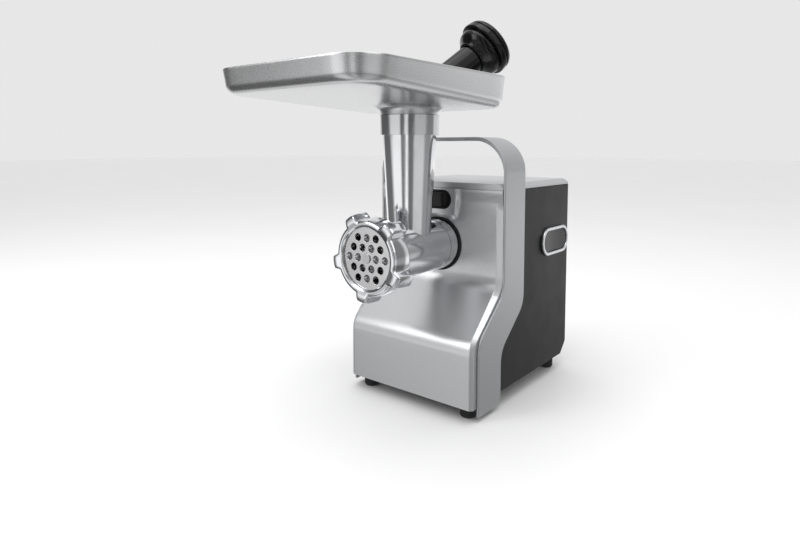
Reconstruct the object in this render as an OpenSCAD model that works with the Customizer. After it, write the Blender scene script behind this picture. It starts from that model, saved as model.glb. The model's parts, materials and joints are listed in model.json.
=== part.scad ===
// Electric meat grinder: motor housing with a carrying band, gear train, grinding head, tray and pusher.
// The front faces -Y and +Z is up. The origin is on the table, below the middle of the overall length.
// Modules draw in a layout frame whose y = 0 is the rear edge of the carrying band, and place() moves
// every piece from there to the row's origin.

/* [Body] */
// Width over the outer faces of the carrying band
body_w = 153.4; // [145:1:190]
// Distance from the band's rear edge to the rear face
rear_y = 106.5; // [96:1:140]
// Height of the top cover above the table
body_top = 216; // [212:1:250]
// How far the chin stands in front of the upper front wall
chin_reach = 53; // [42:1:62]
// Wall of the moulded panels
wall = 2.5; // [2:0.1:3.5]
// Height of the feet
foot_h = 13; // [8:0.5:18]
// Radius of a foot
foot_r = 8; // [6:0.5:11]

/* [Carrying band] */
// Width of the band, front to rear
band_w = 40; // [30:1:48]
// Thickness of the band
band_t = 2.6; // [2:0.1:4]
// Height of the band's top face above the top cover
band_rise = 45; // [38:1:70]
// Outer radius of the band's two top corners
band_corner = 35; // [20:1:45]
// Height of the band's lower end above the table
band_foot = 5; // [3:0.5:10]

/* [Grinding head] */
// Height of the head's axis above the table
head_z = 152.8; // [148:0.5:156]
// Outer radius of the barrel
barrel_r = 25.5; // [24.5:0.5:28]
// Radius of the chamber that the auger turns in
chamber_r = 21.5; // [20:0.5:22]
// Radius of the perforated plate
plate_r = 31; // [29:0.5:36]
// Radius of one hole in the perforated plate
plate_hole_r = 3.5; // [2.5:0.1:4]
// Distance between neighbouring holes in the plate
plate_pitch = 10.5; // [9.5:0.1:11]
// Distance from the upper front wall to the ring nut's front face
head_reach = 113.3; // [108:1:125]
// Depth of the ring nut
nut_depth = 20.3; // [19:0.1:24]
// Distance from the upper front wall to the feed tube's axis
tube_reach = 49.2; // [45:1:56]
// Outer radius of the feed tube under its collar
tube_top_r = 25.7; // [25:0.1:29]
// Height of the collar's rim above the head's axis
collar_rise = 128; // [120:1:150]

/* [Tray] */
// Width of the tray over its rim
tray_w = 172; // [165:1:230]
// Length of the tray over its rim
tray_l = 210.5; // [190:1:250]
// Distance from the feed tube's axis to the tray's rear rim
tray_back = 50; // [46:0.5:60]
// Height of the tray's rim above the collar
tray_rise = 33.9; // [32:0.5:42]
// Thickness of the tray's sheet
tray_t = 1.6; // [1.2:0.1:2.5]

/* [Pusher] */
// Radius of the pusher's stem
stem_r = 14; // [12:0.5:16]
// Length of the pusher's stem, up to its knob
stem_l = 66; // [55:1:72]
// Part of the stem that lies beyond the tray's rear rim
stem_out = 3; // [2:1:20]
// Radius of the knob
knob_r = 27.7; // [24:0.5:30]
// Angle at which the pusher rises from the tray
pusher_rise = 37.5; // [35:0.5:42]
// Direction in which the pusher leans, from +X towards +Y
pusher_turn = 60; // [55:1:75]

/* [Controls] */
// Length of the rocker switch's bezel
switch_l = 64; // [50:1:70]
// Height of the rocker switch's bezel
switch_h = 30; // [24:1:34]
// Distance from the rear face to the middle of the switch
switch_back = 35.5; // [35.5:0.5:50]
// Width of the release button
button_w = 29; // [22:1:32]
// Height of the release button
button_h = 14.8; // [12:0.5:16]
// How far the button and its latch travel
button_travel = 4; // [2:0.5:5]

/* [Hidden] */
$fn = 64;

// Clearances
gap = 0.3;           // between faces of different pieces that only lie side by side
running = 0.05;      // radial clearance of a turning or sliding fit
seam = 0.2;          // joint between two panels

// Body
front_y = -band_w;                      // upper front wall
chin_y = front_y - chin_reach;
panel_half = body_w / 2 - band_t - seam;
skin = 1.4;                             // the side skins stand out beside the band by this much
panel_bottom = foot_h;
base_t = 3;
floor_z = foot_h + base_t;
cover_h = 6;
cover_z = body_top - cover_h;
turn = 50;                              // how far the front's curve turns from the vertical
sweep_top = 128;                        // the front wall starts to sweep forward at this height
sweep_bottom = 62;
band_top = body_top + band_rise;
band_sweep = [[125, 62], [105, 45]];    // heights of the band's front sweep, then of its rear sweep
band_chin = chin_y + 8;                 // the band stays behind the chin by this much
band_low_back = band_chin + 40.5;

// Head
nut_y = front_y - head_reach;
nut_back = nut_y + nut_depth;
lip_t = 2.1;
lip_r = plate_r - 3;
bowl_r = plate_r + 0.15;
thread_r = plate_r + 2.1;
nut_bore_r = thread_r + gap;
nut_r = nut_bore_r + 1.6;
lobe_r = 5;
lobe_reach = nut_r + 3;
washer_t = 0.7;
plate_t = 5;
washer_y = nut_y + lip_t;
plate_y = washer_y + washer_t + 0.1;
knife_y = plate_y + plate_t + 0.2;
knife_t = 8;
bowl_y = knife_y + knife_t + 0.7;
socket_y = front_y - 15;                // front end of the socket's collar
spigot_r = 21;
spigot_in_r = 12.5;
spigot_y = front_y + 2;                 // rear end of the head's spigot
chamber_y = socket_y - 7;
journal_r = 8;
auger_core = 9;
auger_y = knife_y + knife_t + gap;
pin_square = 8;
pin_round_r = 4.2;
tang = 9.4;                             // across the flats of the auger's square tang
tang_y = front_y + 10;
tube_y = front_y - tube_reach;
collar_z = head_z + collar_rise;
collar_h = 18.3;
collar_r = tube_top_r + 2.7;
collar_in_r = tube_top_r + 0.4;
tube_in_r = tube_top_r - 3.2;
tube_foot_r = 20.4;

// Tray
tray_z = collar_z + tray_rise;
tray_rear = tube_y + tray_back;
tray_front = tray_rear - tray_l;
tray_corner = 30;
floor_front = tray_z - 19.5;
floor_rear = tray_z - 29;
tray_fold = [[8, 2], [2.3, 4.3], [0, 10]];  // the fold's rise over the floor and inset from the rim
neck_r = collar_in_r - 0.15;
neck_in_r = neck_r - 1.9;
neck_h = 16;

// Pusher: a frame on the rear rim, with the stem's side just above the rim
rim_x = 34.5;
stem_slope = tan(pusher_rise) / sin(pusher_turn);
rim_lift = (stem_r + 0.2) * norm([1, stem_slope]) + tray_t * stem_slope;
stem_wall = 2.5;
knob_l = 28;

// Gear train, seen from the front: each wheel's teeth, module and width
pressure = 25;                          // pressure angle of the teeth
backlash = 3.2;                         // each flank's relief: this many degrees at one module's radius
gear_c = [48, 1.5, 12];
pinion_c = [13, 1.5, 12];
gear_b = [54, 1, 8];
pinion_b = [12, 1, 8];
gear_a = [66, 0.8, 6];
pinion_a = [11, 0.8, 6];
gear_c_y = front_y + 14;
gear_b_y = gear_c_y + gear_c[2] + 2;
gear_a_y = gear_b_y + gear_b[2] + 2;
box_y = front_y + 6;                    // front face of the gearbox
box_end = gear_a_y + gear_a[2] + 2;     // face where the gearbox's cover starts
box_wall = 2.5;
box_cover_t = 4;
mesh_c = 229;                           // direction from the output to the second idler, from +X
mesh_b = 328;                           // from the second idler to the first
mesh_a = 274;                           // from the first idler to the motor
out_at = [0, head_z];
two_at = out_at + spacing(gear_c, pinion_c) * [cos(mesh_c), sin(mesh_c)];
one_at = two_at + spacing(gear_b, pinion_b) * [cos(mesh_b), sin(mesh_b)];
motor_at = one_at + spacing(gear_a, pinion_a) * [cos(mesh_a), sin(mesh_a)];
pinion_c_turn = mesh_turn(gear_c, 0, pinion_c, mesh_c);
pinion_b_turn = mesh_turn(gear_b, 0, pinion_b, mesh_b);
pinion_a_turn = mesh_turn(gear_a, 0, pinion_a, mesh_a);
out_r = 10;
idler_r = 4;
motor_r = 4;
bush_r = 13;

// Motor
stator_y = 34;
stator_l = 40;
stator_half = 37;
pole_r = 22.6;
armature_r = 22;
fan_y = box_end + box_cover_t + 3;
brush_y = stator_y + stator_l + 11;
commutator_l = 10;
bracket_y = brush_y + commutator_l + 3;
bracket_t = 3;
bearing_r = 11;
bolt_x = 30;

// Controls
collar_fit_r = barrel_r + 0.1;          // outer radius of the socket's collar
button_z = body_top - 17.5;
button_proud = 1;
pad_t = 3;
pad_half = 22;
pad_bottom = head_z + 26;
latch_r = 1.4;
latch_y = (front_y + wall + box_y) / 2;
latch_foot = head_z + spigot_r + gap;
latch_top = button_z + 2;
latch_slot = 2.6;
latch_pin_l = 7;
pin_r = 1;
pin_z = button_z - 0.5;
cap_back = box_y - button_travel - gap;
guide_z = body_top - wall - 2.5;
rocker_x = panel_half - wall - 2;
rocker_pin_r = 1.5;
rear_proud = 2;
switch_y = rear_y - switch_back;
switch_z = 150;
side_x = panel_half + skin;
bezel_proud = 3;
gland_at = [-45, 42];
gland_r = 3.6;

mid_y = (tray_front + rear_y + rear_proud) / 2;

function spacing(g, p) = (g[0] + p[0]) * g[1] / 2;

// Turn of a pinion whose centre lies in the given direction from a wheel turned by wheel_turn
function mesh_turn(g, wheel_turn, p, direction) =
    direction + 180 - 360 / p[0] * (0.5 - g[0] * (direction - wheel_turn) / 360);

// Points of an S: down a wall at y_top, forward, and down again at y_low. Each bend turns by
// `turn`, and grow moves the whole line outwards, towards -Y, by that distance.
function bend(centre, r, from, to, steps = 12) =
    [for (i = [0 : steps]) let(a = from + (to - from) * i / steps) centre + r * [cos(a), sin(a)]];

function s_line(y_top, y_low, z_top, z_low, grow = 0) =
    let(
        across = y_top - y_low,
        down = z_top - z_low,
        r = (down * sin(turn) - across * cos(turn)) / (1 - cos(turn)) / 2
    )
    concat(
        bend([y_top - r, z_top], r - grow, 0, -turn),
        bend([y_low + r, z_low], r + grow, 180 - turn, 180)
    );

// Draws a flat shape, whose axes are X and Z, from y = from to y = to
module along_y(from, to) {
    translate([0, to, 0]) rotate([90, 0, 0]) linear_extrude(to - from) children();
}

// Draws a flat shape, whose axes are Y and Z, from x = from to x = to
module along_x(from, to) {
    translate([from, 0, 0]) rotate([90, 0, 90]) linear_extrude(to - from) children();
}

module place() {
    translate([0, -mid_y, 0]) children();
}

// A rectangle with four round corners, from its lowest to its highest corner
module round_rect(low, high, r) {
    translate(low + [r, 0]) square([high[0] - low[0] - 2 * r, high[1] - low[1]]);
    translate(low + [0, r]) square([high[0] - low[0], high[1] - low[1] - 2 * r]);
    for (x = [low[0] + r, high[0] - r])
        for (y = [low[1] + r, high[1] - r])
            translate([x, y]) circle(r);
}

module disc_y(at, r, from, to) {
    along_y(from, to) translate(at) circle(r);
}

module ring_y(at, r_out, r_in, from, to) {
    along_y(from, to) translate(at) difference() {
        circle(r_out);
        circle(r_in);
    }
}

// ---- Casing ----

// The front's outer line, with its upper end at z = top
module front_strip(top, low, thick) {
    outer = s_line(front_y, chin_y, sweep_top, sweep_bottom);
    inner = s_line(front_y, chin_y, sweep_top, sweep_bottom, -thick);
    polygon(concat(
        [[front_y, top]], outer, [[chin_y, low]],
        [[chin_y + thick, low]], [for (i = [len(inner) - 1 : -1 : 0]) inner[i]], [[front_y + thick, top]]
    ));
}

// Everything behind the front panel, seen from the side
module side_outline(low, high, back) {
    inner = s_line(front_y, chin_y, sweep_top, sweep_bottom, -wall - seam);
    cut = 12;
    polygon(concat(
        [[front_y + wall + seam, high]], inner, [[chin_y + wall + seam, low]],
        [[back - cut, low], [back, low + cut], [back, high]]
    ));
}

module front_panel() {
    color("silver") difference() {
        union() {
            along_x(-panel_half, panel_half) front_strip(cover_z - seam, panel_bottom, wall);
            along_y(front_y - pad_t, front_y + wall / 2)
                round_rect([-pad_half, pad_bottom], [pad_half, cover_z - seam], 6);
        }
        disc_y([0, head_z], collar_fit_r + 1.9 + running, front_y - pad_t - 1, front_y + wall + 1);
        along_y(front_y - pad_t - 1, front_y + wall + 1) stadium(button_w + 5, button_h + 5, button_z);
    }
}

// A lying stadium around x = 0
module stadium(w, h, z) {
    for (x = [-1, 1]) translate([x * (w - h) / 2, z]) circle(h / 2);
    translate([-(w - h) / 2, z - h / 2]) square([w - h, h]);
}

// The band from the side: the strip between its front and rear lines
module band_strip() {
    front = s_line(front_y, band_chin, band_sweep[0][0], band_sweep[0][1]);
    back = s_line(0, band_low_back, band_sweep[1][0], band_sweep[1][1]);
    corner = 8;
    polygon(concat(
        [[front_y, band_top]], front, [[band_chin, band_foot]],
        bend([band_low_back - corner, band_foot + corner], corner, -90, 0),
        [for (i = [len(back) - 1 : -1 : 0]) back[i]], [[0, band_top]]
    ));
}

// The arch seen from the front, grown inwards by `inset`
module band_arch(inset) {
    half = body_w / 2 - inset;
    top = band_top - inset;
    r = band_corner - inset;
    round_rect([-half, top - 3 * r], [half, top], r);
    translate([-half, 0]) square([2 * half, top - 2 * r]);
}

module handle_band() {
    color("silver") intersection() {
        along_y(band_chin - 1, 1) difference() {
            band_arch(0);
            translate([0, -1]) band_arch(band_t);
            translate([-body_w / 2 + band_t, -2]) square([body_w - 2 * band_t, 10]);
        }
        along_x(-body_w, body_w) band_strip();
    }
}

// The outline beside the band's rear line, which the outer skin fills
module skin_outline() {
    back = s_line(seam, band_low_back + seam, band_sweep[1][0], band_sweep[1][1]);
    intersection() {
        side_outline(floor_z, cover_z - seam, rear_y);
        polygon(concat(
            [[rear_y, band_top], [seam, band_top]], back, [[band_low_back + seam, 0], [rear_y, 0]]
        ));
    }
}

module side_panel() {
    along_x(panel_half - wall, panel_half) side_outline(floor_z, cover_z - seam, rear_y - wall - seam);
    along_x(panel_half, side_x) skin_outline();
    along_x(panel_half - wall, panel_half)
        intersection() {
            skin_outline();
            translate([rear_y - 2 * wall, 0]) square([2 * wall, band_top]);
        }
}

module side_panel_left() {
    color("dimgray") mirror([1, 0, 0]) side_panel();
}

module side_panel_right() {
    color("dimgray") difference() {
        side_panel();
        switch_cut(panel_half - wall - 1, side_x + 1, switch_l - 6, switch_h - 6);
    }
}

// A stadium along Y through the right wall
module switch_cut(from, to, l, h) {
    translate([0, switch_y, switch_z]) along_x(from, to) {
        for (y = [-1, 1]) translate([y * (l - h) / 2, 0]) circle(h / 2);
        translate([-(l - h) / 2, -h / 2]) square([l - h, h]);
    }
}

// The cover seen from the front: a slab with sloping shoulders
module cover_outline(half, low, high, shoulder) {
    polygon([
        [-half, low], [half, low], [half, high - shoulder], [half - shoulder, high],
        [-half + shoulder, high], [-half, high - shoulder]
    ]);
}

module top_cover() {
    shoulder = 4;
    color("gainsboro") difference() {
        union() {
            along_y(front_y, rear_y) cover_outline(panel_half, cover_z, body_top, shoulder);
            along_y(seam, rear_y) cover_outline(side_x, cover_z, body_top, shoulder);
        }
        along_y(front_y + wall, rear_y - wall)
            cover_outline(panel_half - wall, cover_z - 1, body_top - wall, shoulder);
        translate([0, rear_y, body_top]) rotate([45, 0, 0])
            translate([-body_w, -shoulder * 0.7, -shoulder * 0.7]) cube([2 * body_w, 20, 20]);
    }
}

module rear_cover() {
    half = panel_half - wall - seam;
    slots = 9;
    color("dimgray") difference() {
        along_y(rear_y - wall, rear_y)
            translate([-half, floor_z + 12]) square([2 * half, cover_z - seam - floor_z - 12]);
        for (i = [0 : slots - 1])
            along_y(rear_y - wall - 1, rear_y + 1)
                translate([0, motor_at[1] + (i - (slots - 1) / 2) * 7]) stadium(70, 3, 0);
        disc_y(gland_at, gland_r + 4 + running, rear_y - wall - 1, rear_y + 1);
        for (at = cover_screw_at) disc_y(at, 1.8, rear_y - wall - 1, rear_y + 1);
    }
}

cover_screw_at = [for (x = [-1, 1]) for (z = [0, 1]) [x * (panel_half - 12), z == 0 ? floor_z + 22 : cover_z - 12]];
foot_at = [for (x = [-1, 1]) for (y = [chin_y + 17, rear_y - 18]) [x * 60, y]];

module base_plate() {
    half = panel_half - wall - seam;
    color("dimgray") difference() {
        union() {
            translate([-half, chin_y + wall + seam, foot_h])
                cube([2 * half, rear_y - chin_y - wall - seam - 12, base_t]);
            for (at = foot_at) translate([at[0], at[1], foot_h]) cylinder(r = 6, h = 10);
            for (at = cover_screw_at)
                if (at[1] < head_z)
                    translate([at[0] - 5, rear_y - 24, floor_z]) cube([10, 24 - wall - seam, at[1] - floor_z + 5]);
        }
        for (at = foot_at) translate([at[0], at[1], foot_h - 1]) cylinder(r = 1.6, h = 14);
        for (at = cover_screw_at)
            disc_y(at, 1.5, rear_y - 14, rear_y + 1);
        for (i = [-3 : 3])
            translate([i * 9 - 1.5, stator_y, foot_h - 1]) cube([3, stator_l, base_t + 2]);
    }
}

module feet() {
    color("black") for (at = foot_at) translate([at[0], at[1], 0]) difference() {
        union() {
            cylinder(r1 = foot_r - 1, r2 = foot_r, h = 2);
            translate([0, 0, 2]) cylinder(r = foot_r, h = foot_h - 2);
        }
        translate([0, 0, -1]) cylinder(r = 4, h = 6);
        cylinder(r = 1.9, h = foot_h + 1);
    }
}

// A pan-head screw with its head at the origin, pointing along +Z
module screw(r, l, head_r) {
    difference() {
        translate([0, 0, -2]) cylinder(r = head_r, h = 2);
        for (a = [0, 90]) rotate(a) translate([-head_r * 0.6, -0.5, -3]) cube([head_r * 1.2, 1, 2]);
    }
    cylinder(r = r, h = l);
}

module foot_screws() {
    color("silver") for (at = foot_at) translate([at[0], at[1], 5]) screw(1.5, foot_h + 2, 3.4);
}

module cover_screws() {
    color("silver") for (at = cover_screw_at)
        translate([at[0], rear_y, at[1]]) rotate([90, 0, 0]) screw(1.4, 11, 3.2);
}

// ---- Socket, gearbox and gear train ----

module socket_seal() {
    color("black") ring_y([0, head_z], collar_fit_r + 1.9, collar_fit_r, front_y - 1.5, front_y + wall);
}

module head_socket() {
    color("silver") difference() {
        union() {
            disc_y([0, head_z], collar_fit_r, socket_y, box_y);
            disc_y([0, head_z], 34, front_y + wall + gap, box_y);
        }
        disc_y([0, head_z], spigot_r + running, socket_y - 1, box_y - 1);
        disc_y([0, head_z], out_r + 1, box_y - 2, box_y + 1);
        translate([0, latch_y, head_z]) cylinder(r = latch_r + running, h = 50);
    }
}

// Circles round each wheel in the box, with `extra` added to their radii
module box_outline(extra) {
    translate(out_at) circle(tip_r(gear_c) + extra);
    translate(two_at) circle(tip_r(gear_b) + extra);
    translate(one_at) circle(tip_r(gear_a) + extra);
    translate(motor_at) circle(bearing_r + extra - 1);
}

function tip_r(g) = (g[0] / 2 + 1) * g[1];

// Screw bosses, each just outside one wheel's wall: [wheel centre, wheel, direction]
boss_at = [for (b = [
    [out_at, gear_c, 20], [out_at, gear_c, 60], [out_at, gear_c, 180],
    [two_at, gear_b, 230], [one_at, gear_a, 340]
]) b[0] + (tip_r(b[1]) + 5.5) * [cos(b[2]), sin(b[2])]];

module boss_circles(r) {
    for (at = boss_at) translate(at) circle(r);
}

module gearbox_housing() {
    color("darkgray") difference() {
        along_y(box_y, box_end) {
            box_outline(1 + box_wall);
            boss_circles(4.5);
        }
        along_y(box_y + 4, box_end + 1) box_outline(1);
        disc_y(out_at, bush_r, box_y - 1, box_y + 5);
        disc_y(two_at, idler_r + running, box_y + 1, box_y + 5);
        disc_y(one_at, idler_r + running, box_y + 1, box_y + 5);
        along_y(box_end - 12, box_end + 1) boss_circles(1.6);
    }
}

module gearbox_cover() {
    color("darkgray") difference() {
        along_y(box_end, box_end + box_cover_t) {
            box_outline(1 + box_wall);
            boss_circles(4.5);
        }
        disc_y(out_at, 6 + running, box_end - 1, box_end + box_cover_t + 1);
        for (at = [two_at, one_at]) disc_y(at, idler_r + running, box_end - 1, box_end + 3);
        disc_y(motor_at, bearing_r, box_end - 1, box_end + box_cover_t + 1);
        along_y(box_end - 1, box_end + box_cover_t + 1) boss_circles(1.8);
    }
}

module gearbox_screws() {
    color("silver") for (at = boss_at)
        translate([at[0], box_end + box_cover_t, at[1]]) rotate([90, 0, 0]) screw(1.5, 14, 3.2);
}

module output_bush() {
    color("goldenrod") ring_y(out_at, bush_r, out_r + running, box_y, box_y + 5);
}

module output_shaft() {
    color("lightgray") difference() {
        union() {
            disc_y(out_at, out_r, front_y - 6, box_end - 1);
            disc_y(out_at, 6, box_end - 1, box_end + box_cover_t - 0.5);
        }
        translate([-tang / 2 - 0.1, front_y - 7, head_z - tang / 2 - 0.1])
            cube([tang + 0.2, tang_y - front_y + 8, tang + 0.2]);
    }
}

// A spur wheel of [teeth, module, width], flat on the ground, with one tooth on the X axis
module spur(g, bore) {
    teeth = g[0];
    m = g[1];
    pitch_r = teeth * m / 2;
    base_r = pitch_r * cos(pressure);
    root_r = pitch_r - 1.25 * m;
    top_r = pitch_r + m;
    start_r = max(base_r, root_r);
    half = 90 / teeth - backlash * m / pitch_r + involute(pitch_r, base_r);
    steps = 4;
    flank = [for (i = [0 : steps])
        let(r = start_r + (top_r - start_r) * i / steps) [r, half - involute(r, base_r)]];
    linear_extrude(g[2]) difference() {
        polygon([for (t = [0 : teeth - 1]) let(mid = t * 360 / teeth) each concat(
            [root_r * [cos(mid - flank[0][1]), sin(mid - flank[0][1])]],
            [for (p = flank) p[0] * [cos(mid - p[1]), sin(mid - p[1])]],
            [for (i = [steps : -1 : 0]) let(p = flank[i]) p[0] * [cos(mid + p[1]), sin(mid + p[1])]],
            [root_r * [cos(mid + flank[0][1]), sin(mid + flank[0][1])]]
        )]);
        circle(bore);
    }
}

// Angle in degrees that an involute from base_r has swept at radius r
function involute(r, base_r) =
    let(a = acos(min(1, base_r / r))) tan(a) * 180 / PI - a;

// Sets a wheel drawn on the ground into the XZ plane, from y = from towards the rear
module wheel_at(at, from, width, angle) {
    translate([at[0], from + width, at[1]]) rotate([90, 0, 0]) rotate(angle) children();
}

module output_gear() {
    color("ivory") wheel_at(out_at, gear_c_y, gear_c[2], 0) spur(gear_c, out_r);
}

module idler_two_gear() {
    color("ivory") wheel_at(two_at, gear_b_y, gear_b[2], 0) spur(gear_b, idler_r);
}

module idler_two_shaft() {
    color("lightgray") {
        disc_y(two_at, idler_r, box_y + 1.5, box_end + 2.5);
        wheel_at(two_at, gear_c_y, pinion_c[2], pinion_c_turn) spur(pinion_c, idler_r - 1);
    }
}

module idler_one_gear() {
    color("ivory") wheel_at(one_at, gear_a_y, gear_a[2], 0) spur(gear_a, idler_r);
}

module idler_one_shaft() {
    color("lightgray") {
        disc_y(one_at, idler_r, box_y + 1.5, box_end + 2.5);
        wheel_at(one_at, gear_b_y, pinion_b[2], pinion_b_turn) spur(pinion_b, idler_r - 1);
    }
}

// ---- Motor ----

module motor_pinion() {
    color("lightgray") wheel_at(motor_at, gear_a_y, pinion_a[2], pinion_a_turn) spur(pinion_a, 2);
}

module motor_shaft() {
    color("lightgray") {
        disc_y(motor_at, 2, gear_a_y, box_end);
        disc_y(motor_at, motor_r, box_end, bracket_y + bracket_t);
    }
}

module armature() {
    slots = 12;
    color("slategray") along_y(stator_y, stator_y + stator_l) translate(motor_at) difference() {
        circle(armature_r);
        circle(motor_r);
        for (i = [0 : slots - 1]) rotate(i * 360 / slots) {
            translate([armature_r - 8, -0.8]) square([9, 1.6]);
            translate([armature_r - 6, 0]) circle(2.6);
        }
    }
    color("chocolate") {
        ring_y(motor_at, armature_r - 3, motor_r, stator_y - 6, stator_y);
        ring_y(motor_at, armature_r - 3, motor_r, stator_y + stator_l, stator_y + stator_l + 7);
    }
}

module commutator() {
    bars = 24;
    color("peru") along_y(brush_y - 2, brush_y + commutator_l) translate(motor_at) difference() {
        circle(11);
        circle(motor_r);
        for (i = [0 : bars - 1]) rotate(i * 360 / bars) translate([9.5, -0.3]) square([3, 0.6]);
    }
}

module motor_fan() {
    blades = 9;
    color("white") {
        ring_y(motor_at, 30, motor_r, fan_y, fan_y + 1.6);
        along_y(fan_y + 1.6, fan_y + 5.5) translate(motor_at) {
            difference() {
                circle(8);
                circle(motor_r);
            }
            for (i = [0 : blades - 1]) rotate(i * 360 / blades) translate([7, -0.7]) square([22, 1.4]);
        }
    }
}

module motor_stator() {
    color("slategray") along_y(stator_y, stator_y + stator_l) translate(motor_at) difference() {
        round_rect([-stator_half, -stator_half], [stator_half, stator_half], 8);
        circle(pole_r);
        for (z = [-1, 1]) translate([-19, z > 0 ? 14 : -29]) square([38, 15]);
        for (x = [-1, 1]) for (z = [-1, 1]) translate([x * bolt_x, z * bolt_x]) circle(2.1);
    }
}

// Two field coils, each a flat winding that lies in one pocket of the stator
module field_coils() {
    color("chocolate") translate([motor_at[0], 0, motor_at[1]]) for (z = [24, -28.7])
        translate([-18.6, stator_y - 5, z]) cube([37.2, stator_l + 10, 4.7]);
}

// The rings of the front and the rear ball bearing
module motor_bearings() {
    color("lightgray") for (y = [box_end, bracket_y])
        ring_y(motor_at, bearing_r, motor_r + running, y, y + (y == box_end ? box_cover_t : bracket_t));
}

module motor_rear_bracket() {
    color("darkgray") difference() {
        along_y(bracket_y, bracket_y + bracket_t) translate(motor_at) {
            circle(bearing_r + 4);
            rotate(45) square([2 * bolt_x * sqrt(2) + 8, 10], center = true);
            rotate(-45) square([2 * bolt_x * sqrt(2) + 8, 10], center = true);
        }
        disc_y(motor_at, bearing_r, bracket_y - 1, bracket_y + bracket_t + 1);
        for (x = [-1, 1]) for (z = [-1, 1])
            disc_y(motor_at + bolt_x * [x, z], 2, bracket_y - 1, bracket_y + bracket_t + 1);
    }
}

// Long bolts that hold the rear bracket and the stator
module motor_bolts() {
    color("silver") for (x = [-1, 1]) for (z = [-1, 1])
        translate([motor_at[0] + x * bolt_x, bracket_y + bracket_t, motor_at[1] + z * bolt_x])
            rotate([90, 0, 0]) screw(1.9, bracket_y + bracket_t - stator_y, 3.4);
}

module brush_holders() {
    color("goldenrod") for (x = [-1, 1])
        translate([motor_at[0] + x * 23, brush_y + 4, motor_at[1]]) difference() {
            cube([18, 9, 11], center = true);
            cube([20, 5.4, 7.4], center = true);
        }
}

module carbon_brushes() {
    color("black") for (x = [-1, 1])
        translate([motor_at[0] + x * 19.8, brush_y + 4, motor_at[1]]) cube([17, 5, 7], center = true);
}

// A saddle on the base plate that carries the stator
module motor_cradle() {
    seat = motor_at[1] - stator_half;
    color("dimgray") for (y = [stator_y + 4, stator_y + stator_l - 10]) {
        translate([motor_at[0] - 34, y, floor_z]) cube([68, 6, seat - floor_z]);
        for (x = [-1, 1])
            translate([motor_at[0] + x * (stator_half + 2.1) - 2, y, floor_z])
                cube([4, 6, seat - floor_z + 22]);
    }
}

// ---- Controls ----

module button_bezel() {
    color("black") along_y(front_y - pad_t - 0.6, front_y + wall) difference() {
        stadium(button_w + 5 - 2 * running, button_h + 5 - 2 * running, button_z);
        stadium(button_w + gap, button_h + gap, button_z);
    }
}

// The button's cap, with a block behind it whose sloping slots lift the latch's cross pin
module release_button() {
    block = 5.5;
    color("black") difference() {
        union() {
            along_y(front_y - pad_t - button_proud, cap_back) stadium(button_w - gap, button_h - gap, button_z);
            translate([-8, cap_back - 1, button_z - 3.3])
                cube([16, latch_y + latch_r + block - cap_back + 1, 10]);
        }
        translate([-latch_slot, cap_back - 3, button_z - button_h])
            cube([2 * latch_slot, latch_y + latch_r + 1 - cap_back + 3, 2 * button_h]);
        along_x(-latch_pin_l, latch_pin_l) {
            for (i = [0, button_travel]) translate([latch_y - i, pin_z + i]) circle(pin_r + gap);
            translate([latch_y, pin_z]) rotate(135)
                translate([0, -pin_r - gap]) square([button_travel * sqrt(2), 2 * (pin_r + gap)]);
        }
    }
}

// A rod whose nose reaches through the socket's wall, with a cross pin in the button's slots
module latch() {
    color("lightgray") {
        translate([0, latch_y, latch_foot]) cylinder(r = latch_r, h = latch_top - latch_foot);
        translate([0, 0, pin_z]) translate([-latch_pin_l + gap, latch_y, 0])
            rotate([0, 90, 0]) cylinder(r = pin_r, h = 2 * (latch_pin_l - gap));
    }
}

// The bracket under the top cover that the latch's spring pushes against
module latch_guide() {
    color("dimgray") translate([-10, front_y + wall + gap, guide_z])
        cube([20, 10, body_top - wall - guide_z]);
}

module latch_spring() {
    turns = 4;
    color("silver") translate([0, latch_y, latch_top])
        linear_extrude(guide_z - latch_top, twist = -360 * turns, slices = 10 * turns)
            translate([1.5, 0]) circle(0.45, $fn = 6);
}

module switch_bezel() {
    color("silver") difference() {
        switch_cut(side_x, side_x + bezel_proud, switch_l, switch_h);
        switch_cut(side_x - 1, side_x + bezel_proud + 1, switch_l - 7, switch_h - 7);
    }
}

// The rocker's face is a shallow V, highest at its two ends
module switch_rocker() {
    low = rocker_x - 3;
    high = side_x + bezel_proud - 0.8;
    reach = switch_l / 2;
    color("black") difference() {
        intersection() {
            switch_cut(low, high, switch_l - 10, switch_h - 7.8);
            translate([0, switch_y, switch_z - switch_h]) linear_extrude(2 * switch_h)
                polygon([[low, -reach], [high, -reach], [high - 1.8, 0], [high, reach], [low, reach]]);
        }
        translate([rocker_x, switch_y, switch_z - switch_h]) cylinder(r = rocker_pin_r + running, h = 2 * switch_h);
    }
}

// A cup inside the right panel, with the rocker's pin across it
module switch_body() {
    half = [switch_l / 2 - 2.5, switch_h / 2 - 2];
    face = panel_half - wall;
    depth = 12;
    color("dimgray") {
        difference() {
            translate([face - depth, switch_y - half[0], switch_z - half[1]])
                cube([depth, 2 * half[0], 2 * half[1]]);
            translate([face - depth + 2, switch_y - half[0] + 1.5, switch_z - half[1] + 1.5])
                cube([depth, 2 * half[0] - 3, 2 * half[1] - 3]);
        }
        translate([rocker_x, switch_y, switch_z - half[1] + 1]) cylinder(r = rocker_pin_r, h = 2 * half[1] - 2);
    }
}

module control_board() {
    face = -panel_half + wall;
    color("darkgreen") translate([face + 6, 32, 132]) cube([1.6, 56, 56]);
    color("white") for (y = [36, 84]) for (z = [136, 184])
        translate([face, y, z]) rotate([0, 90, 0]) cylinder(r = 3, h = 6);
    color("royalblue") translate([face + 7.6, 40, 140]) cube([12, 22, 14]);
    color("black") translate([face + 7.6, 74, 160]) rotate([0, 90, 0]) cylinder(r = 8, h = 20);
}

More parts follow.
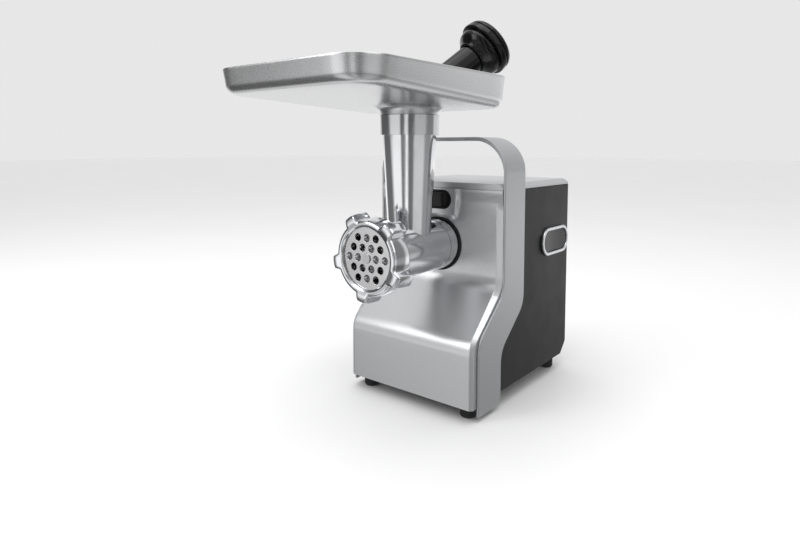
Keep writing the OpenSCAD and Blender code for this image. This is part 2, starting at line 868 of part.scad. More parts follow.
module cord_gland() {
    color("black") {
        ring_y(gland_at, gland_r + 4, gland_r, rear_y - wall - 3, rear_y);
        ring_y(gland_at, gland_r + 6.5, gland_r, rear_y, rear_y + rear_proud);
    }
}

// ---- Grinding head ----

module head_barrel() {
    tube_low = head_z + barrel_r * 0.5;
    bore_top = collar_z - collar_h + 2;
    color("lightgray") difference() {
        union() {
            disc_y([0, head_z], thread_r, plate_y, nut_back);
            disc_y([0, head_z], barrel_r, nut_back - 1, socket_y - gap);
            disc_y([0, head_z], spigot_r, socket_y - gap - 1, spigot_y);
            translate([0, tube_y, tube_low])
                cylinder(r1 = tube_foot_r, r2 = tube_top_r, h = collar_z - collar_h - tube_low);
            translate([0, tube_y, collar_z - collar_h]) cylinder(r1 = collar_r - 0.4, r2 = collar_r, h = collar_h);
        }
        disc_y([0, head_z], bowl_r, plate_y - 1, bowl_y);
        disc_y([0, head_z], chamber_r, bowl_y - 1, chamber_y);
        disc_y([0, head_z], spigot_in_r, chamber_y - 1, spigot_y + 1);
        translate([0, tube_y, head_z])
            cylinder(r1 = tube_foot_r - 3, r2 = tube_in_r, h = bore_top - head_z);
        translate([0, tube_y, bore_top]) cylinder(r = collar_in_r, h = collar_h);
    }
    // The key that stops the plate from turning
    color("lightgray") intersection() {
        disc_y([0, head_z - plate_r], 1.8, plate_y, plate_y + plate_t);
        disc_y([0, head_z], bowl_r + 1, plate_y, plate_y + plate_t);
    }
}

module auger_bush() {
    color("white") ring_y([0, head_z], spigot_in_r, journal_r + running, chamber_y, socket_y);
}

// Radius of the auger's outline at an angle: a core with one rounded thread
function auger_r(a) = auger_core + (chamber_r - 0.5 - auger_core) * pow(cos(a / 2), 8);

module auger() {
    points = 30;
    turns = 3;
    color("lightgray") lathe_turn(auger_y)
        linear_extrude(chamber_y - gap - auger_y, twist = 360 * turns, slices = 18 * turns)
            polygon([for (i = [0 : points - 1]) let(a = i * 360 / points) auger_r(a) * [cos(a), sin(a)]]);
}

// Sets a shape drawn on the ground round the head's axis, with its base at y = from
module lathe_turn(from) {
    translate([0, from, head_z]) rotate([-90, 0, 0]) children();
}

module auger_tang() {
    color("silver") {
        disc_y([0, head_z], journal_r, chamber_y - gap, socket_y);
        translate([-tang / 2, socket_y, head_z - tang / 2]) cube([tang, tang_y - socket_y, tang]);
    }
}

module auger_pin() {
    color("silver") {
        translate([-pin_square / 2, plate_y + plate_t + 0.1, head_z - pin_square / 2])
            cube([pin_square, auger_y - plate_y - plate_t - 0.1, pin_square]);
        disc_y([0, head_z], pin_round_r, washer_y - 0.4, plate_y + plate_t + 0.1);
    }
}

// Four blades round a boss, each with its cutting edge in front
module knife() {
    blades = 4;
    color("silver") difference() {
        union() {
            disc_y([0, head_z], 10, knife_y, knife_y + knife_t);
            for (i = [0 : blades - 1])
                lathe_turn(knife_y) rotate(i * 360 / blades) linear_extrude(knife_t * 0.75)
                    polygon([[4, -4.5], [plate_r - 2.5, -2], [plate_r - 2.5, 3.5], [4, 4.5]]);
        }
        translate([-pin_square / 2 - 0.1, knife_y - 1, head_z - pin_square / 2 - 0.1])
            cube([pin_square + 0.2, knife_t + 2, pin_square + 0.2]);
    }
}

// Rows of holes on a triangular grid: three, four, five, four and three
module perforated_plate() {
    rows = 2;
    color("lightgray") difference() {
        disc_y([0, head_z], plate_r, plate_y, plate_y + plate_t);
        for (row = [-rows : rows]) {
            holes = 2 * rows + 1 - abs(row);
            for (i = [0 : holes - 1]) {
                x = (i - (holes - 1) / 2) * plate_pitch;
                if (row != 0 || abs(x) > 1)
                    disc_y([x, head_z + row * plate_pitch * sin(60)], plate_hole_r, plate_y - 1, plate_y + plate_t + 1);
            }
        }
        disc_y([0, head_z], pin_round_r + running, plate_y - 1, plate_y + plate_t + 1);
        disc_y([0, head_z - plate_r], 1.8 + running, plate_y - 1, plate_y + plate_t + 1);
    }
}

module nut_washer() {
    color("white") ring_y([0, head_z], plate_r + 1, lip_r + 0.6, washer_y, washer_y + washer_t);
}

module ring_nut() {
    lobes = 5;
    first = 47;
    color("silver") difference() {
        union() {
            lathe_turn(nut_y) rotate_extrude() polygon([
                [0, 0], [nut_r - 2, 0], [nut_r, 2], [nut_r, nut_depth], [0, nut_depth]
            ]);
            along_y(nut_y + 1, nut_back) translate([0, head_z])
                for (i = [0 : lobes - 1]) rotate(first + i * 360 / lobes) {
                    translate([lobe_reach, 0]) circle(lobe_r);
                    translate([nut_r - 4, -lobe_r]) square([lobe_reach - nut_r + 4, 2 * lobe_r]);
                }
        }
        disc_y([0, head_z], lip_r, nut_y - 1, nut_back + 1);
        disc_y([0, head_z], nut_bore_r, nut_y + lip_t, nut_back + 1);
    }
}

// ---- Tray and pusher ----

function floor_z_at(y) = floor_front + (floor_rear - floor_front) * (y - tray_front) / tray_l;

// The tray's outer form, shrunk by `inset` all round and stretched upwards by `above`
module tray_form(inset, above) {
    hull() for (x = [-1, 1]) for (y = [tray_front + tray_corner, tray_rear - tray_corner]) {
        translate([x * (tray_w / 2 - tray_corner), y, tray_z - 0.1])
            cylinder(r = tray_corner - inset, h = 0.1 + above, $fn = 48);
        for (f = tray_fold) translate([x * (tray_w / 2 - tray_corner), y, floor_z_at(y) + f[0] + inset])
            cylinder(r = tray_corner - f[1] - inset, h = 0.1, $fn = 48);
    }
}

// A shallow hopper on a flared neck that stands in the feed tube's collar
module tray() {
    flare = [[-0.6, 0], [-0.1, 2.2], [1.2, 4.8], [3.6, 7], [6.5, 8.3], [9.5, 9], [9.5, 14]];
    bore = [[-1.5, 4], [0.1, 6.4], [2.6, 8.7], [5.6, 10], [9.5, 10.8], [9.5, 15]];
    color("gainsboro") difference() {
        union() {
            tray_form(0, 0);
            translate([0, tube_y, collar_z]) rotate_extrude() polygon(concat(
                [[0, -neck_h], [neck_r, -neck_h], [neck_r, 0]],
                [for (p = flare) [collar_r + p[0], p[1]]], [[0, 14]]
            ));
        }
        tray_form(tray_t, 1);
        translate([0, tube_y, collar_z]) rotate_extrude() polygon(concat(
            [[0, -neck_h - 1], [neck_in_r, -neck_h - 1], [neck_in_r, 1.5]],
            [for (p = bore) [collar_r + p[0], p[1]]], [[0, 15]]
        ));
    }
}

// Moves what is drawn up +Z onto the pusher's axis, with z = 0 beside the tray's rear rim
module on_pusher() {
    translate([rim_x, tray_rear, tray_z + rim_lift])
        rotate([0, 0, pusher_turn]) rotate([0, 90 - pusher_rise, 0]) children();
}

module pusher_stem() {
    color("black") on_pusher() translate([0, 0, stem_out - stem_l]) difference() {
        union() {
            cylinder(r1 = stem_r - 1.5, r2 = stem_r, h = 1.5);
            translate([0, 0, 1.5]) cylinder(r = stem_r, h = stem_l + 4 - 1.5);
        }
        translate([0, 0, stem_wall]) cylinder(r = stem_r - stem_wall, h = stem_l + 4);
    }
}

// A hollow cap: a cup round the stem, a groove, a broad flange, a groove and a domed end
module pusher_knob() {
    color("black") on_pusher() translate([0, 0, stem_out]) rotate_extrude() polygon([
        [stem_r, 0], [stem_r + 4, 0], [stem_r + 6.3, 1.2], [knob_r - 4.4, 5], [knob_r - 3.2, 9],
        [knob_r - 3.2, 12.5], [knob_r - 4.5, 13.5], [knob_r - 0.8, 15], [knob_r, 16.5], [knob_r, 19],
        [knob_r - 0.8, 20], [knob_r - 2, 20.6], [knob_r - 0.8, 21.4], [knob_r - 0.6, 23.5],
        [knob_r - 3, 26.5], [knob_r - 8, knob_l], [0, knob_l + 0.6], [0, knob_l - stem_wall],
        [stem_r - 1, knob_l - stem_wall], [stem_r - 1, 4], [stem_r, 4]
    ]);
}

place() front_panel();
place() handle_band();
place() side_panel_left();
place() side_panel_right();
place() top_cover();
place() rear_cover();
place() base_plate();
place() feet();
place() foot_screws();
place() cover_screws();
place() socket_seal();
place() head_socket();
place() gearbox_housing();
place() gearbox_cover();
place() gearbox_screws();
place() output_bush();
place() output_shaft();
place() output_gear();
place() idler_one_gear();
place() idler_one_shaft();
place() idler_two_gear();
place() idler_two_shaft();
place() motor_pinion();
place() motor_shaft();
place() armature();
place() commutator();
place() motor_fan();
place() motor_stator();
place() field_coils();
place() motor_bearings();
place() motor_rear_bracket();
place() motor_bolts();
place() brush_holders();
place() carbon_brushes();
place() motor_cradle();
place() button_bezel();
place() release_button();
place() latch();
place() latch_guide();
place() latch_spring();
place() switch_bezel();
place() switch_rocker();
place() switch_body();
place() control_board();
place() cord_gland();
place() head_barrel();
place() auger_bush();
place() auger();
place() auger_tang();
place() auger_pin();
place() knife();
place() perforated_plate();
place() nut_washer();
place() ring_nut();
place() tray();
place() pusher_stem();
place() pusher_knob();
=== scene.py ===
"""Studio scene of an electric meat grinder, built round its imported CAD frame.

Lengths are in metres. Every visible piece takes its place from the frame's boxes. Flat and turned
pieces are copies of their CAD node with rounded edges, and the free-form ones are built by loops here.
"""

import json
import math

import bmesh
import bpy
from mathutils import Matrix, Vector


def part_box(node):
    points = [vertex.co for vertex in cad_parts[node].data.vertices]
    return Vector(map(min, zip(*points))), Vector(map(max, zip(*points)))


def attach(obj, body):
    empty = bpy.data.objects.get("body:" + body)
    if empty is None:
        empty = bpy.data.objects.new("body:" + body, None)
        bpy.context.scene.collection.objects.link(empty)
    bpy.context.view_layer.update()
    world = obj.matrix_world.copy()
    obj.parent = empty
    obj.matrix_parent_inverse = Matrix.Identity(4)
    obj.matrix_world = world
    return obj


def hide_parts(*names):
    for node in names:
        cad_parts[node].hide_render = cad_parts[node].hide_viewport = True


MM = 0.001

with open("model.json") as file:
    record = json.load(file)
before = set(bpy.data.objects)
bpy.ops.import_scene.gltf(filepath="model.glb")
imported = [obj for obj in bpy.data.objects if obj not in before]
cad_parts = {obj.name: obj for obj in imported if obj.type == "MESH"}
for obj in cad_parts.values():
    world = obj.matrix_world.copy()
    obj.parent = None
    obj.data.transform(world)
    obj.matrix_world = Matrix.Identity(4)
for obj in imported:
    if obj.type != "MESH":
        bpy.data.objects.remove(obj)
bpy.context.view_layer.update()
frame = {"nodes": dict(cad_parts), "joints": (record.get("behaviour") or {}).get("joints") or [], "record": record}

BODY_OF = {
    node: body
    for body, nodes in frame["record"]["behaviour"]["bodies"].items()
    for node in nodes
}
SLOT_OF = {part["node"]: part["material_slot"] for part in frame["record"]["subparts"]}


# ---- Small mesh tools ----


def new_object(name, mesh):
    """A new object that holds the mesh, linked to the scene."""
    obj = bpy.data.objects.new(name, mesh)
    bpy.context.scene.collection.objects.link(obj)
    return obj


def mesh_object(name, verts, faces):
    """A mesh object from corner points and faces, with its normals pointing outwards."""
    mesh = bpy.data.meshes.new(name)
    mesh.from_pydata([tuple(v) for v in verts], [], faces)
    bm = bmesh.new()
    bm.from_mesh(mesh)
    bmesh.ops.remove_doubles(bm, verts=bm.verts, dist=1e-6)
    bmesh.ops.recalc_face_normals(bm, faces=bm.faces)
    bm.to_mesh(mesh)
    bm.free()
    return new_object(name, mesh)


def apply_modifiers(obj):
    """Replaces the object's mesh with its evaluated one."""
    graph = bpy.context.evaluated_depsgraph_get()
    mesh = bpy.data.meshes.new_from_object(obj.evaluated_get(graph), depsgraph=graph)
    obj.modifiers.clear()
    obj.data = mesh


def shade(obj, angle=35):
    """Smooth shading that stays sharp at edges over the angle, in degrees."""
    obj.data.shade_smooth()
    obj.data.set_sharp_from_angle(angle=math.radians(angle))


def round_edges(obj, width, segments=3, angle=32):
    """Rounds every edge sharper than the angle, and keeps the flat faces flat."""
    bevel = obj.modifiers.new("round", "BEVEL")
    bevel.width = width
    bevel.segments = segments
    bevel.limit_method = "ANGLE"
    bevel.angle_limit = math.radians(angle)
    bevel.use_clamp_overlap = True
    bevel.miter_outer = "MITER_ARC"
    apply_modifiers(obj)
    shade(obj)
    level = obj.modifiers.new("even", "WEIGHTED_NORMAL")
    level.keep_sharp = True
    apply_modifiers(obj)


def cut(obj, cutter):
    """Cuts the cutter's closed form out of the object and removes the cutter."""
    boolean = obj.modifiers.new("cut", "BOOLEAN")
    boolean.object = cutter
    boolean.solver = "EXACT"
    apply_modifiers(obj)
    bpy.data.objects.remove(cutter)


def finish_piece(obj, material, node):
    """Gives a piece its material and lets it stand for the CAD node, on that node's body."""
    obj.data.materials.clear()
    obj.data.materials.append(material)
    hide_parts(node)
    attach(obj, BODY_OF[node])
    return obj


def refined(node, material, width, segments=3):
    """A copy of a CAD node with its flat faces joined up and its edges rounded."""
    mesh = frame["nodes"][node].data.copy()
    bm = bmesh.new()
    bm.from_mesh(mesh)
    bmesh.ops.remove_doubles(bm, verts=bm.verts, dist=2e-6)
    bmesh.ops.dissolve_limit(
        bm, angle_limit=math.radians(0.4), verts=bm.verts, edges=bm.edges
    )
    for face in bm.faces:
        face.smooth = True
    bm.to_mesh(mesh)
    bm.free()
    obj = new_object(node + "_finished", mesh)
    round_edges(obj, width, segments)
    return finish_piece(obj, material, node)


def ring_faces(rings, count, closed=True):
    """Quads between neighbouring rings of `count` points; `closed` joins the last ring to the first."""
    faces = []
    last = rings if closed else rings - 1
    for r in range(last):
        a, b = r * count, ((r + 1) % rings) * count
        for i in range(count):
            j = (i + 1) % count
            faces.append((a + i, a + j, b + j, b + i))
    return faces


def turned(name, profile, origin, axis, steps=96):
    """A body of revolution from (radius, height) points; a radius of 0 closes an end."""
    turn = axis.to_track_quat("Z", "Y").to_matrix()
    verts = []
    for radius, height in profile:
        for i in range(steps):
            a = 2 * math.pi * i / steps
            local = Vector((radius * math.cos(a), radius * math.sin(a), height))
            verts.append(origin + turn @ local)
    closed = profile[0][0] > 0
    return mesh_object(name, verts, ring_faces(len(profile), steps, closed))


def arc(centre, radius, start, end, steps=8):
    """Points of an arc in a plane, with its angles in degrees."""
    out = []
    for i in range(steps + 1):
        a = math.radians(start + (end - start) * i / steps)
        out.append(
            (centre[0] + radius * math.cos(a), centre[1] + radius * math.sin(a))
        )
    return out


def smoothstep(low, high, value):
    """0 below low, 1 above high, and an even S in between."""
    t = min(1.0, max(0.0, (value - low) / (high - low)))
    return t * t * (3 - 2 * t)


# ---- Materials ----


class Surface:
    """A node material that starts from a Principled shader and object coordinates."""

    def __init__(self, name, color, roughness, metallic=0.0, coat=0.0, specular=0.5):
        self.material = bpy.data.materials.new(name)
        self.material.use_nodes = True
        self.tree = self.material.node_tree
        self.shader = self.tree.nodes["Principled BSDF"]
        self.coords = self.tree.nodes.new("ShaderNodeTexCoord")
        self.normal = None
        self.set("Base Color", (*color, 1))
        self.set("Roughness", roughness)
        self.set("Metallic", metallic)
        self.set("Coat Weight", coat)
        self.set("Specular IOR Level", specular)
        self.color, self.roughness = color, roughness

    def set(self, socket, value):
        self.shader.inputs[socket].default_value = value

    def noise(self, scale, stretch=(1, 1, 1), detail=3.0):
        """Noise over the object, `scale` grains to the metre, stretched along the axes."""
        mapping = self.tree.nodes.new("ShaderNodeMapping")
        mapping.inputs["Scale"].default_value = stretch
        texture = self.tree.nodes.new("ShaderNodeTexNoise")
        texture.inputs["Scale"].default_value = scale
        texture.inputs["Detail"].default_value = detail
        self.tree.links.new(self.coords.outputs["Object"], mapping.inputs["Vector"])
        self.tree.links.new(mapping.outputs["Vector"], texture.inputs["Vector"])
        return texture.outputs["Fac"]

    def spread(self, value, low, high):
        """Maps the middle of a noise, 0.3 to 0.7, to low to high."""
        node = self.tree.nodes.new("ShaderNodeMapRange")
        node.inputs["From Min"].default_value = 0.3
        node.inputs["From Max"].default_value = 0.7
        node.inputs["To Min"].default_value = low
        node.inputs["To Max"].default_value = high
        self.tree.links.new(value, node.inputs["Value"])
        return node.outputs["Result"]

    def vary_roughness(self, value, amount):
        out = self.spread(value, self.roughness - amount, self.roughness + amount)
        self.tree.links.new(out, self.shader.inputs["Roughness"])
        return self

    def vary_color(self, value, amount):
        """Lightens and darkens the colour by the amount, as a share of it."""
        ramp = self.tree.nodes.new("ShaderNodeValToRGB")
        ramp.color_ramp.elements[0].position = 0.3
        ramp.color_ramp.elements[1].position = 0.7
        for element, factor in zip(ramp.color_ramp.elements, (1 - amount, 1 + amount)):
            element.color = (*[min(1.0, c * factor) for c in self.color], 1)
        self.tree.links.new(value, ramp.inputs["Fac"])
        self.tree.links.new(ramp.outputs["Color"], self.shader.inputs["Base Color"])
        return self

    def bump(self, value, height, strength=1.0):
        """Adds relief of the height, in metres, on top of any that is there."""
        node = self.tree.nodes.new("ShaderNodeBump")
        node.inputs["Strength"].default_value = strength
        node.inputs["Distance"].default_value = height
        self.tree.links.new(value, node.inputs["Height"])
        if self.normal is not None:
            self.tree.links.new(self.normal, node.inputs["Normal"])
        self.normal = node.outputs["Normal"]
        self.tree.links.new(self.normal, self.shader.inputs["Normal"])
        return self


def metallic_paint(name, color, roughness):
    """Silver paint with fine flakes under a thin clear coat."""
    s = Surface(name, color, roughness, metallic=0.78, coat=0.12)
    s.set("Coat Roughness", 0.25)
    flakes = s.noise(2600, detail=2)
    s.vary_color(flakes, 0.09)
    s.vary_roughness(s.noise(900), 0.04)
    s.bump(flakes, 0.004 * MM, 0.3)
    return s.material


def polished_casting(name, color, roughness, relief=0.05):
    """Machined and polished aluminium: soft clouds in the polish and a faint unevenness."""
    s = Surface(name, color, roughness, metallic=1.0)
    clouds = s.noise(60, detail=4)
    s.vary_roughness(clouds, 0.05)
    s.vary_color(s.noise(25), 0.04)
    s.bump(clouds, relief * MM, 0.25)
    s.bump(s.noise(1800, detail=2), 0.006 * MM, 0.3)
    return s.material


def brushed_metal(name, color, roughness, stretch, lines=900, relief=0.008):
    """Metal with fine lines along the axis whose stretch is smallest."""
    s = Surface(name, color, roughness, metallic=1.0)
    grain = s.noise(lines, stretch, detail=3)
    s.vary_roughness(grain, 0.08)
    s.vary_color(grain, 0.06)
    s.bump(grain, relief * MM, 0.5)
    return s.material


def moulded_plastic(name, color, roughness, grain=1400, relief=0.03, tint=0.12):
    """Plastic with a fine moulded grain."""
    s = Surface(name, color, roughness, specular=0.25)
    texture = s.noise(grain, detail=2)
    s.vary_color(s.noise(grain * 0.6), tint)
    s.vary_roughness(s.noise(40, detail=4), 0.04)
    s.bump(texture, relief * MM, 0.6)
    return s.material


def gloss_plastic(name, color, roughness=0.13):
    """Smooth plastic with faint handling marks in its gloss."""
    s = Surface(name, color, roughness, specular=0.2, coat=0.06)
    s.set("Coat Roughness", 0.06)
    s.vary_roughness(s.noise(70, detail=5), 0.02)
    s.vary_color(s.noise(30), 0.1)
    s.bump(s.noise(45, detail=2), 0.008 * MM, 0.15)
    return s.material


def rubber(name, color):
    """Matte rubber with a slightly rough skin."""
    s = Surface(name, color, 0.72, specular=0.35)
    s.vary_color(s.noise(200), 0.15)
    s.bump(s.noise(1100), 0.04 * MM, 0.5)
    return s.material


def winding(name, color):
    """Enamelled wire wound in fine turns."""
    s = Surface(name, color, 0.32, metallic=0.85)
    turns = s.noise(500, (0.2, 1, 6), detail=1)
    s.vary_color(turns, 0.35)
    s.bump(turns, 0.15 * MM, 0.8)
    return s.material


def make_materials():
    """One material for each slot of the record."""
    steel = (0.62, 0.62, 0.63)
    return {
        "silver_front": metallic_paint("silver_front", (0.60, 0.61, 0.62), 0.32),
        "silver_band": metallic_paint("silver_band", (0.44, 0.45, 0.46), 0.36),
        "charcoal_panel": moulded_plastic("charcoal_panel", (0.006, 0.006, 0.0065), 0.4, tint=0.2),
        "cover_silver": metallic_paint("cover_silver", (0.5, 0.51, 0.52), 0.34),
        "head_metal": polished_casting("head_metal", (0.70, 0.705, 0.72), 0.13, 0.008),
        "nut_metal": polished_casting("nut_metal", (0.72, 0.73, 0.75), 0.1, 0.03),
        "tray_metal": brushed_metal("tray_metal", (0.68, 0.685, 0.695), 0.3, (1, 1, 1), 1500, 0.0015),
        "cutting_steel": brushed_metal(
            "cutting_steel", (0.66, 0.66, 0.67), 0.24, (0.1, 1, 1), relief=0.002
        ),
        "shaft_steel": brushed_metal("shaft_steel", steel, 0.3, (1, 0.1, 1)),
        "screw_steel": brushed_metal("screw_steel", steel, 0.35, (1, 1, 1)),
        "core_steel": brushed_metal("core_steel", (0.3, 0.31, 0.33), 0.5, (0.02, 1, 0.02), 2000),
        "black_gloss": gloss_plastic("black_gloss", (0.004, 0.004, 0.0045)),
        "black_matte": moulded_plastic("black_matte", (0.008, 0.008, 0.009), 0.45),
        "white_plastic": moulded_plastic("white_plastic", (0.78, 0.77, 0.73), 0.4, tint=0.03),
        "gear_plastic": moulded_plastic("gear_plastic", (0.74, 0.7, 0.58), 0.38, tint=0.04),
        "box_metal": polished_casting("box_metal", (0.52, 0.53, 0.54), 0.45, 0.3),
        "copper": winding("copper", (0.72, 0.36, 0.18)),
        "bronze": polished_casting("bronze", (0.66, 0.48, 0.22), 0.38, 0.1),
        "carbon": moulded_plastic("carbon", (0.035, 0.035, 0.038), 0.55),
        "board_green": moulded_plastic("board_green", (0.03, 0.18, 0.07), 0.35, 500),
        "seal_rubber": rubber("seal_rubber", (0.012, 0.012, 0.013)),
        "foot_rubber": rubber("foot_rubber", (0.018, 0.018, 0.019)),
        "bezel_chrome": brushed_metal("bezel_chrome", (0.62, 0.63, 0.65), 0.24, (1, 0.2, 1), 500),
    }


MATERIALS = make_materials()


def material_of(node):
    return MATERIALS[SLOT_OF[node]]


# ---- Casing ----

BAND_WIDTH = 40 * MM
SWEEP_TURN = 50
SWEEP_TOP = 128 * MM
SWEEP_BOTTOM = 62 * MM
PANEL_WALL = 2.5 * MM
PAD_HALF = 22 * MM
PAD_CORNER = 6 * MM
PAD_OUT = 3 * MM
PLAIN_HALF = 58 * MM
BORDER_WIDTH = 6.2 * MM
BORDER_DEPTH = 1.3 * MM
CHIN_BORDER_WIDTH = 2.6 * MM
CHIN_BORDER_DEPTH = 2.3 * MM
# The panel's sides turn back this far, just outside the side panels' front edges
SKIRT = 10 * MM
SKIRT_OUT = 0.12 * MM
LIP_OUT = 1.4 * MM


def front_profile(top, upper_y, chin_y, bottom):
    """The front wall's section from top to bottom, as (y, z, outward normal) in the side plane."""
    across, down = upper_y - chin_y, SWEEP_TOP - SWEEP_BOTTOM
    s, c = math.sin(math.radians(SWEEP_TURN)), math.cos(math.radians(SWEEP_TURN))
    r = (down * s - across * c) / (1 - c) / 2
    rows = []
    z = top
    fine_until = top - 36 * MM
    while z > SWEEP_TOP:
        rows.append((upper_y, z, Vector((0, -1, 0))))
        z -= 0.8 * MM if z > fine_until else 4 * MM
    steps = 18
    for i in range(steps + 1):
        a = math.radians(-SWEEP_TURN * i / steps)
        out = Vector((0, -math.cos(a), -math.sin(a)))
        rows.append((upper_y - r + r * math.cos(a), SWEEP_TOP + r * math.sin(a), out))
    for i in range(steps + 1):
        a = math.radians(180 - SWEEP_TURN + SWEEP_TURN * i / steps)
        out = Vector((0, math.cos(a), math.sin(a)))
        rows.append((chin_y + r + r * math.cos(a), SWEEP_BOTTOM + r * math.sin(a), out))
    straight = 7
    for i in range(1, straight + 1):
        z = SWEEP_BOTTOM + (bottom - SWEEP_BOTTOM) * i / straight
        rows.append((chin_y, z, Vector((0, -1, 0))))
    return rows


def box_distance(x, z, half_w, low, high, corner):
    """Signed distance from a rectangle with round corners, negative inside."""
    dx = abs(x) - half_w + corner
    dz = abs(z - (low + high) / 2) - (high - low) / 2 + corner
    outside = math.hypot(max(dx, 0), max(dz, 0))
    return outside + min(max(dx, dz), 0) - corner


def panel_columns(half):
    """Places across the panel, closer together at the pad's sides and at the borders."""
    columns = [i * 4.0 * MM for i in range(5)]
    columns += [PAD_HALF + i * 0.5 * MM for i in range(-4, 5)]
    columns += [x * MM for x in (25, 26, 27.5, 29, 33, 38, 43, 48, 53, 58, 63)]
    columns += [half - BORDER_WIDTH + x * MM for x in (-1.2, -0.4, 0.0, 0.1, 0.9, 2.5, 4.3, 5.6)]
    inside = sorted(set(round(x, 6) for x in columns if x < half))
    return [-x for x in reversed(inside) if x > 0] + inside


def chin_share(z):
    """How far a height is above the chin: 0 at the chin, 1 above the sweep."""
    return smoothstep(SWEEP_BOTTOM, SWEEP_TOP + 4 * MM, z)


def front_panel():
    """The front shell: a sweeping wall with sloping borders, a raised pad and a forward lip."""
    low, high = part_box("front_panel")
    socket_low, socket_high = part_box("socket_seal")
    bezel_low, bezel_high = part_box("button_bezel")
    upper_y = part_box("handle_band")[1].y - BAND_WIDTH
    half = high.x
    columns = [-half - SKIRT_OUT] + panel_columns(half) + [half + SKIRT_OUT]
    rows = front_profile(high.z, upper_y, low.y, low.z)
    pad_low = socket_high.z - 2 * MM

    def across(x, z):
        """Moves the columns beside the border outward as the border narrows towards the chin."""
        width = CHIN_BORDER_WIDTH + (BORDER_WIDTH - CHIN_BORDER_WIDTH) * chin_share(z)
        edge = half - BORDER_WIDTH
        if abs(x) <= PLAIN_HALF or abs(x) > half:
            return x
        if abs(x) <= edge:
            share = (abs(x) - PLAIN_HALF) / (edge - PLAIN_HALF)
            place = PLAIN_HALF + share * (half - width - PLAIN_HALF)
        else:
            place = half - width + (abs(x) - edge) * width / BORDER_WIDTH
        return math.copysign(place, x)

    def sink(x, z):
        """Depth of the surface below the plain sweep: a sloped border, a raised pad and the lip."""
        slope = min(1.0, max(0.0, (abs(x) - half + BORDER_WIDTH) / BORDER_WIDTH))
        border_end = 1 - smoothstep(high.z - 20 * MM, high.z - 11 * MM, z)
        fall = CHIN_BORDER_DEPTH + (BORDER_DEPTH - CHIN_BORDER_DEPTH) * chin_share(z)
        depth = (0.25 * MM * (slope > 0) + fall * slope) * border_end
        up = smoothstep(pad_low, high.z - 3 * MM, z)
        pad = box_distance(x, z, PAD_HALF, pad_low, high.z + 20 * MM, PAD_CORNER)
        proud = 1 - smoothstep(-0.9 * MM, (1.1 + 5.0 * up) * MM, pad)
        depth -= PAD_OUT * proud * smoothstep(pad_low - 1 * MM, pad_low + 6 * MM, z)
        lip = smoothstep(high.z - 13 * MM, high.z - 1 * MM, z)
        away = smoothstep(0 * MM, 7 * MM, pad)
        return depth - LIP_OUT * lip * away

    outer, inner = [], []
    for y, z, out in rows:
        for x in columns:
            at = Vector((across(x, z), y, z))
            depth = sink(x, z)
            outer.append(at - out * depth)
            skirt = SKIRT if abs(x) > half - 1 * MM else PANEL_WALL + max(depth, BORDER_DEPTH)
            inner.append(at - out * skirt)
    wide, tall = len(columns), len(rows)
    count = wide * tall
    faces = []
    for r in range(tall - 1):
        for c in range(wide - 1):
            a = r * wide + c
            faces.append((a, a + 1, a + wide + 1, a + wide))
            faces.append(tuple(count + i for i in (a + wide, a + wide + 1, a + 1, a)))
    rim = [c for c in range(wide)] + [r * wide + wide - 1 for r in range(1, tall)]
    rim += [(tall - 1) * wide + c for c in range(wide - 2, -1, -1)]
    rim += [r * wide for r in range(tall - 2, 0, -1)]
    for i, a in enumerate(rim):
        b = rim[(i + 1) % len(rim)]
        faces.append((a, b, count + b, count + a))
    obj = mesh_object("front_panel_finished", outer + inner, faces)
    hole = (socket_high.z - socket_low.z) / 2 + 0.1 * MM
    cut(obj, disc_cutter(hole, (socket_low.z + socket_high.z) / 2, upper_y))
    cut(obj, stadium_cutter(bezel_low, bezel_high, upper_y))
    shade(obj, 40)
    return finish_piece(obj, material_of("front_panel"), "front_panel")


def prism(name, outline, y_low, y_high):
    """A closed prism along Y over an outline of (x, z) points."""
    count = len(outline)
    verts = [Vector((x, y, z)) for y in (y_low, y_high) for x, z in outline]
    faces = [tuple(range(count)), tuple(range(2 * count - 1, count - 1, -1))]
    faces += [(i, (i + 1) % count, count + (i + 1) % count, count + i) for i in range(count)]
    return mesh_object(name, verts, faces)


def disc_cutter(radius, z, y):
    outline = arc((0, z), radius, 0, 360, 96)[:-1]
    return prism("cutter", outline, y - 10 * MM, y + 10 * MM)


def stadium_cutter(low, high, y):
    r = (high.z - low.z) / 2
    mid = (high.z + low.z) / 2
    outline = arc((high.x - r, mid), r, -90, 90, 24) + arc((low.x + r, mid), r, 90, 270, 24)
    return prism("cutter", outline, y - 10 * MM, y + 10 * MM)


# ---- Grinding head ----

LOBES = 5
FIRST_LOBE = 47
LOBE_HALF = 8.0


def nut_outline(theta, body_r, tip_r):
    """Radius of the ring nut's outline at an angle in degrees: a circle with five broad lobes."""
    away = abs((theta - FIRST_LOBE + 180 / LOBES) % (360 / LOBES) - 180 / LOBES)
    crown = 1 - 0.06 * min(1, away / LOBE_HALF) ** 2
    foot = 1 - smoothstep(LOBE_HALF - 1.5, LOBE_HALF + 5.5, away)
    return body_r + (tip_r - body_r) * min(crown, foot)


